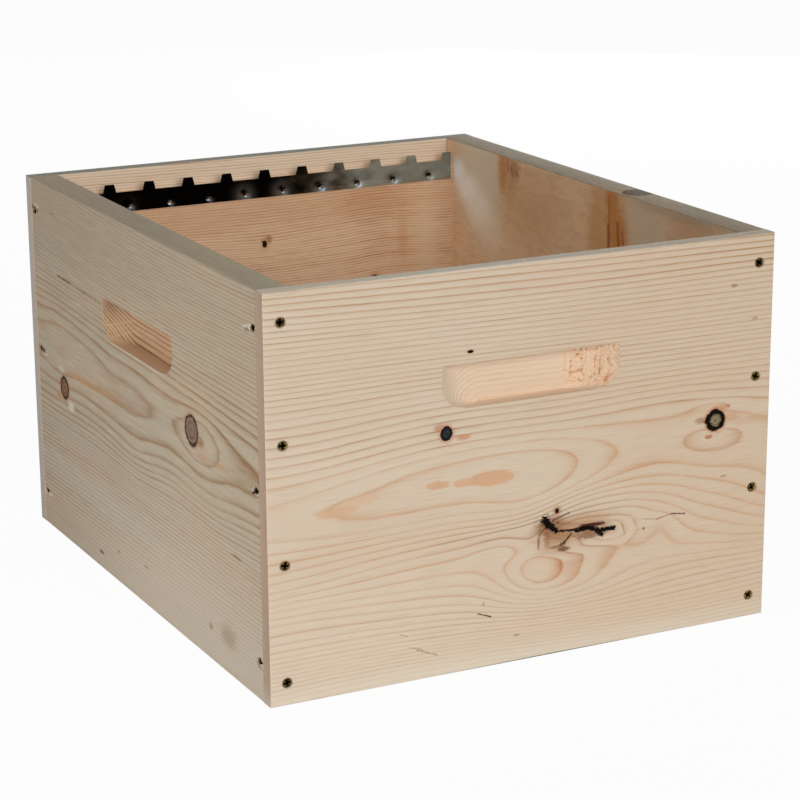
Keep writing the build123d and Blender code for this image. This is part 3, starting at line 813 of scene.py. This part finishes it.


# rolled sheet = base to bright by cloudy patches and fine streaks along x; on the rails a painted dark reflection
# over one end and painted dark lobes and bright glints round the nails;
# on the nails a painted dark reflection on the side that looks up
def steelFinish(name, k):
    sheet = Sheet(bpy.data.materials.new(name))
    point = sheet.place()
    streak = sheet.cloud(point, (40, 0.6, 0.6), k["seed"], 3, 0.6)
    patch = sheet.cloud(point, k["patches"], k["seed"] + 3, 3)
    speck = sheet.cloud(point, (1.2, 1.2, 1.2), k["seed"] + 7)
    colour = sheet.mix(patch.ease(0.3, 0.7) * 0.7 + streak * 0.25, k["base"], k["bright"])
    low, high = k["rough"]
    rough = (streak + patch) * ((high - low) * 0.6) + low
    if k["scale"]:
        scale, dent = k["scale"], sheet.mark("dent")
        # painted dark reflection over one end of the rail
        x = sheet.add("ShaderNodeSeparateXYZ", {0: point})
        clearOfDark = (x + (patch - 0.5) * scale["ragged"]).ease(scale["dark"], scale["clear"])
        colour = sheet.mix(clearOfDark, scale["tone"], colour)
        rough = clearOfDark * (rough - scale["rough"]) + scale["rough"]
        # painted dark lobes and bright glints round the nails
        colour = sheet.mix(dent.within(0, 1) * 0.8, colour, scale["tone"])
        colour = sheet.mix((dent * -1).within(0, 1) * 0.7, colour, scale["glint"])
    # painted dark reflection on the side of the nail heads that looks up
    if k["crown"]:
        colour = sheet.mix(sheet.dot(sheet.normal(), k["paintedDarkTopSide"]).ease(-0.2, 0.3), colour, k["crown"])
    sockets = {"Base Color": colour, "Roughness": rough, "Metallic": 1}
    return sheet.finish(sockets, (streak + speck) * 0.5, 0.02, 0.35)


# places along x: a count of them, a pitch apart, about the rail's middle
def railPlaces(count):
    return railShape["shift"] + railShape["pitch"] * (np.arange(count) - (count - 1) / 2)


# upper edge over x: straight runs at the frame edge, a trapezium at every tooth
def toothEdge(x, teeth, k):
    off = np.min([np.abs(x - place) for place in teeth], 0)
    share = np.clip((k["baseHalf"] - off) / (k["baseHalf"] - k["topHalf"]), 0, 1)
    return k["edge"] + (k["toothTop"] - k["edge"]) * share


# strip from the lower edge to the toothed edge, springing off the board a little between its nails
def buildRail(side, sign, nails, finish):
    k, teeth = railShape, railPlaces(railShape["frames"] + 1)
    base, top = k["baseHalf"], k["topHalf"]
    low, high = teeth[0] - top, teeth[-1] + top
    exact = np.concatenate([teeth + off for off in (-base, -top, top, base)])
    exact = [*exact[(exact > low) & (exact < high)], low, high]
    fine = [(nail - k["nailReach"], nail + k["nailReach"], k["nailStep"]) for nail in nails]
    x, v = np.meshgrid(gridLines(low, high, k["step"], fine, exact), np.linspace(0, 1, k["rows"]))
    z = k["low"] + v * (toothEdge(x, teeth, k) - k["low"])
    wave = 0.5 - 0.5 * np.cos(2 * np.pi * (x - nails[0]) / k["pitch"])
    gap = np.min([np.hypot(x - nail, z - k["nailHeight"]) for nail in nails], 0)
    spring = k["lift"] * (k["liftWave"] * wave + k["liftNoise"] * softNoise(x / 14, z / 9, 61))
    spring = spring * ease(*k["liftFrom"], gap)
    bend = k["bend"] * ease(*k["bendFrom"], z) * (softNoise(x / k["pitch"], z * 0 + 1, 62) - k["bendBack"])
    off = spring - k["dent"] * (1 - ease(*k["dentFrom"], gap)) + bend

    # exp(-(distance / reach)^2) from a spot beside a nail
    def spot(nail, besideX, besideZ, reach):
        return np.exp(-(np.hypot(x - nail + besideX, z - k["nailHeight"] + besideZ) / reach) ** 2)

    # painted reflections round each nail, carried by the dent attribute: a dark lobe less a bright glint and a glare
    # as strong as the nail's shine
    marks = np.zeros_like(x)
    for nail, shine in zip(nails, k["shine"]):
        marks += spot(nail, *k["lobe"]) - 0.8 * spot(nail, *k["glint"]) - shine * spot(nail, *k["glare"])
    inner, outer = k["face"] - k["thick"] - off, k["face"] - off * 0.9
    points = np.concatenate([np.stack([x, sign * y, z], -1).reshape(-1, 3) for y in (inner, outer)])
    addPiece(side + "Rail", points, shellFaces(*x.shape, sign < 0), finish, side + "_rail", 35,
             {"dent": np.concatenate([marks.ravel(), np.zeros(x.size)])})


# turned pieces as one mesh: equal grids of points, numbered one after the other; each pole is closed with one face
def addTurned(name, grids, flip, finish, node, marks):
    rows, columns = grids[0].shape[:2]
    faces = [gridFaces(rows, columns, i * rows * columns, flip, True) for i in range(len(grids))]
    points = np.concatenate([grid.reshape(-1, 3) for grid in grids])
    mesh = addPiece(name, points, np.concatenate(faces), finish, node, 40, marks).data
    work = bmesh.new()
    work.from_mesh(mesh)
    bmesh.ops.holes_fill(work, edges=[e for e in work.edges if e.is_boundary], sides=columns)
    work.to_mesh(mesh)
    work.free()


# turned nail: a low dome, its seat and the shank with a drawn point; radius and depth along one profile
def buildNails(side, sign, nails, finish):
    k, rail = nailShape, railShape
    angle = np.linspace(0, np.pi / 2, k["rings"])
    dome = k["pole"] + (k["radius"] - k["pole"]) * np.sin(angle)
    radius = np.array([*dome, k["radius"] * k["seat"], k["shank"], k["shank"], k["pole"]])[:, None]
    depth = np.array([*(-k["dome"] * np.cos(angle)), 0, 0, k["length"] - k["point"], k["length"]])[:, None]
    turn = np.linspace(0, 2 * np.pi, k["turns"], endpoint=False)
    seat = rail["face"] - rail["thick"] + rail["dent"] * k["sunk"]
    rng = np.random.default_rng(k["seed"][side])
    grids = []
    for place in nails:
        tiltX, tiltZ = rng.uniform(-k["tilt"], k["tilt"], 2) * 0.5
        dent = np.where(depth <= 0, 1 + k["dent"] * np.sin(2 * turn + rng.uniform(0, 6)), 1)
        x, z = radius * np.cos(turn) * dent, radius * np.sin(turn) * dent
        y = depth + np.where(depth < -0.2, x * tiltX + z * tiltZ, 0)
        grids.append(np.stack([place + x, sign * (seat + y), rail["nailHeight"] + z], -1))
    addTurned(side + "RailNails", grids, sign > 0, finish, side + "_rail_nails", {})


railFinish, nailFinish = steelFinish("railSteel", railSteel), steelFinish("nailSteel", nailSteel)
nailPlaces = railPlaces(railShape["frames"])
for side, sign in (("front", -1), ("back", 1)):
    buildRail(side, sign, nailPlaces, railFinish)
    buildNails(side, sign, nailPlaces, nailFinish)
print("rails and nails placed")


# Screws

screwShape = dict(
    head=3.8, flat=3.65, edge=(0.08, 0.3), shank=2, length=45, tip=5, pole=0.05, rings=12, turns=32, slotWide=0.85,
    slotLong=3, slotDeep=2.2, sink=dict(front=0.35, back=0.35, left=1.2, right=1.2),
)
faceZinc = dict(base=(52, 40, 22), bright=(150, 124, 72), seed=4)
# the side boards' screws get the same zinc set much darker: painted shade for screws sunk deep in torn holes
sideZinc = dict(base=(14, 11, 8), bright=(62, 46, 32), seed=9)
# tone of the painted shade in the cross recess
recessShade = (6, 5, 4)


# dull zinc = base to bright by small patches, some screws darker than others, with painted shade in the cross recess
def zincFinish(name, k):
    sheet = Sheet(bpy.data.materials.new(name))
    point = sheet.place()
    patch, each = sheet.cloud(point, (1.8, 1.8, 1.8), k["seed"], 3), sheet.cloud(point, (70, 70, 70), k["seed"] + 3)
    colour = sheet.mix(patch.ease(0.35, 0.65), k["base"], k["bright"])
    colour = sheet.mix(each.ease(0.38, 0.62) * 0.75, colour, k["base"])
    # painted shade in the cross recess
    colour = sheet.mix(sheet.mark("pit").ease(0.04, 0.25), colour, recessShade)
    return sheet.finish({"Base Color": colour, "Roughness": patch * 0.25 + 0.3, "Metallic": 1}, patch, 0.04, 0.4)


# one arm of the cross recess: deep along u, falling towards its ends, with steep sides along v
def slotArm(u, v, k):
    return (1 - ease(0.6, 1, np.abs(v) / k["slotWide"])) * np.clip(1 - np.abs(u) / k["slotLong"], 0, 1) ** 0.6


# screw = polar grid of the head with a cross recess, then cone, shank and point as one profile
def buildScrews(side, column, node, finish):
    k, wall, (rim, under) = screwShape, walls[side], screwShape["edge"]
    head, shank, rings = k["head"], k["shank"], k["rings"]
    turn = np.linspace(0, 2 * np.pi, k["turns"], endpoint=False)
    radius = np.array([*np.linspace(k["pole"], k["flat"], rings), head, head, shank, shank, k["pole"]])[:, None]
    lower = (rim, under, under + head - shank, k["length"] - k["tip"], k["length"])
    depth, onHead = np.array([*np.zeros(rings), *lower])[:, None], (np.arange(len(radius)) < rings)[:, None]
    p, q = radius * np.cos(turn), radius * np.sin(turn)
    rng = np.random.default_rng(81 + len(side) * 7 + (5 if column > 0 else 0))
    grids, pits = [], []
    for z in boardShape["screwZ"][side]:
        spin = rng.uniform(0, np.pi / 2)
        u, v = p * np.cos(spin) + q * np.sin(spin), q * np.cos(spin) - p * np.sin(spin)
        arm = np.maximum(slotArm(u, v, k), slotArm(v, u, k)) * onHead
        sunk = k["sink"][side] + depth + k["slotDeep"] * arm
        grids.append(wallPoints(wall, column + p, z + q, sunk).reshape(*p.shape, 3))
        pits.append(arm.ravel())
    first, *others = node.split("_")
    name = first + "".join(word.title() for word in others)
    addTurned(name, grids, True, finish, node, {"pit": np.concatenate(pits)})


faceFinish, sideFinish = zincFinish("faceZinc", faceZinc), zincFinish("sideZinc", sideZinc)
for side, ends, finish in (("front", ("left", "right"), faceFinish), ("back", ("left", "right"), faceFinish),
                           ("left", ("back", "front"), sideFinish), ("right", ("front", "back"), sideFinish)):
    for sign, end in zip((-1, 1), ends):
        buildScrews(side, sign * boardShape["screwS"][side], f"{side}_board_{end}_screws", finish)
print("screws placed")


# Studio, in metres

studio = dict(
    key=dict(strength=1.52, azimuth=-1, elevation=21, away=3, soft=38, colour=(1, 0.99, 0.965)),
    low=dict(power=1.5, place=(-0.75, -0.15, 0.06), aim=(-0.2, -0.1, 0.1), size=0.5, colour=(0.97, 0.98, 1)),
    high=dict(power=11, place=(-2.4, -0.4, 1.5), aim=(0.1, 0.1, 0.25), size=1, colour=(1, 0.99, 0.97)),
    rear=dict(power=24, place=(1.9, 2.3, 0.55), aim=(0.1, 0.15, 0.15), size=1.2, colour=(1, 0.99, 0.97)),
    sky=0.28, white=(1, 1, 1, 1), floorWhite=0.955, floorTone=(236, 236, 236), floorHalf=30,
)


# a lamp at its place, turned so that its -z looks at the target
def addLamp(name, kind, place, target, **settings):
    data = bpy.data.lights.new(name, kind)
    for key, value in settings.items():
        setattr(data, key, value)
    lamp = bpy.data.objects.new(name, data)
    lamp.visible_camera = False
    lamp.location = place
    lamp.rotation_euler = (Vector(target) - Vector(place)).to_track_quat("-Z", "Y").to_euler()
    scene.collection.objects.link(lamp)


# 1 for what the camera sees, straight, mirrored or through glass, and 0 for what lights the scene
def seenRays(sheet):
    rays = ("Is Camera Ray", "Is Glossy Ray", "Is Transmission Ray")
    straight, mirrored, through = sheet.wires("ShaderNodeLightPath", {}, *rays)
    return (straight + mirrored + through).within(0, 1)


key = studio["key"]
azimuth, elevation, soft = (math.radians(key[name]) for name in ("azimuth", "elevation", "soft"))
level, rise = key["away"] * math.cos(elevation), key["away"] * math.sin(elevation)
place = (level * math.sin(azimuth), -level * math.cos(azimuth), rise)
addLamp("keyLamp", "SUN", place, (0, 0, 0), energy=key["strength"], angle=soft, color=key["colour"])
for name in ("low", "high", "rear"):
    lamp = studio[name]
    addLamp(name + "Lamp", "AREA", lamp["place"], lamp["aim"], energy=lamp["power"], size=lamp["size"],
            color=lamp["colour"])

# world: white where it is seen, a soft sky as a light
scene.world = bpy.data.worlds.new("studioWorld")
sheet = Sheet(scene.world)
strength = seenRays(sheet) * (1 - studio["sky"]) + studio["sky"]
backdrop = sheet.add("ShaderNodeBackground", {"Color": studio["white"], "Strength": strength})
sheet.add("ShaderNodeOutputWorld", {"Surface": backdrop})

# floor: pale matt paint that looks near white to the camera and keeps the shadow
sheet = Sheet(bpy.data.materials.new("floorPaint"))
matt = sheet.add("ShaderNodeBsdfDiffuse", {"Color": tone(*studio["floorTone"])})
white = sheet.add("ShaderNodeEmission", {"Color": studio["white"], "Strength": 1})
surface = sheet.add("ShaderNodeMixShader", {0: seenRays(sheet) * studio["floorWhite"], 1: matt, 2: white})
sheet.add("ShaderNodeOutputMaterial", {"Surface": surface})
floorMesh = bpy.data.meshes.new("floor")
far = studio["floorHalf"]
floorMesh.from_pydata([(-far, -far, 0), (far, -far, 0), (far, far, 0), (-far, far, 0)], [], [(0, 1, 2, 3)])
floorMesh.materials.append(sheet.owner)
floor = bpy.data.objects.new("floor", floorMesh)
scene.collection.objects.link(floor)
print("studio lit")

# Camera at the photograph's place
view = dict(place=(-0.9135, -1.8551, 0.7236), turn=(73.478, 0.429, -26.544), lens=115.84, sensor=36,
            shift=(0.0142, 0.047))
cameraData = bpy.data.cameras.new("camera")
cameraData.sensor_width, cameraData.lens = view["sensor"], view["lens"]
cameraData.shift_x, cameraData.shift_y = view["shift"]
camera = bpy.data.objects.new("camera", cameraData)
camera.location = view["place"]
camera.rotation_euler = [math.radians(x) for x in view["turn"]]
scene.collection.objects.link(camera)
scene.camera = camera
print("camera placed")
